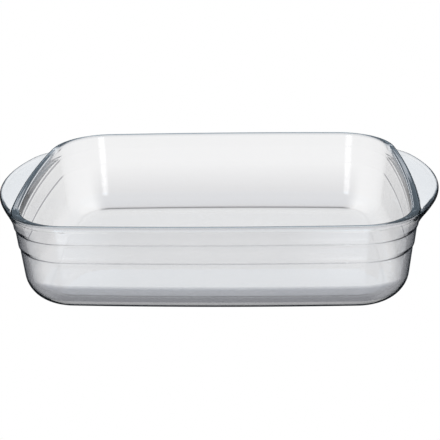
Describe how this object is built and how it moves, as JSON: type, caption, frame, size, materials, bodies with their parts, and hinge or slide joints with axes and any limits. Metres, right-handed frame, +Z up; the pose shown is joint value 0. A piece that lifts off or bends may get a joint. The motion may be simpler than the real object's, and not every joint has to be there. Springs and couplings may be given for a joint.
{
  "type": "rectangular baking dish",
  "caption": "Clear pressed-glass oven dish with bowed sides, rounded corners, a rim bead, shallow steps round the wall and a crescent handle on each short end.",
  "frame": {"origin": "middle of the flat underside, on the surface the dish stands on", "axes": "+X along the dish towards one handle, +Y across it towards the rear long side, +Z up out of the dish"},
  "size_m": [0.35, 0.23, 0.072],
  "materials": {
    "glass": "clear gloss"
  },
  "bodies": {
    "root": {"glass_dish": "glass"}
  },
  "joints": []
}
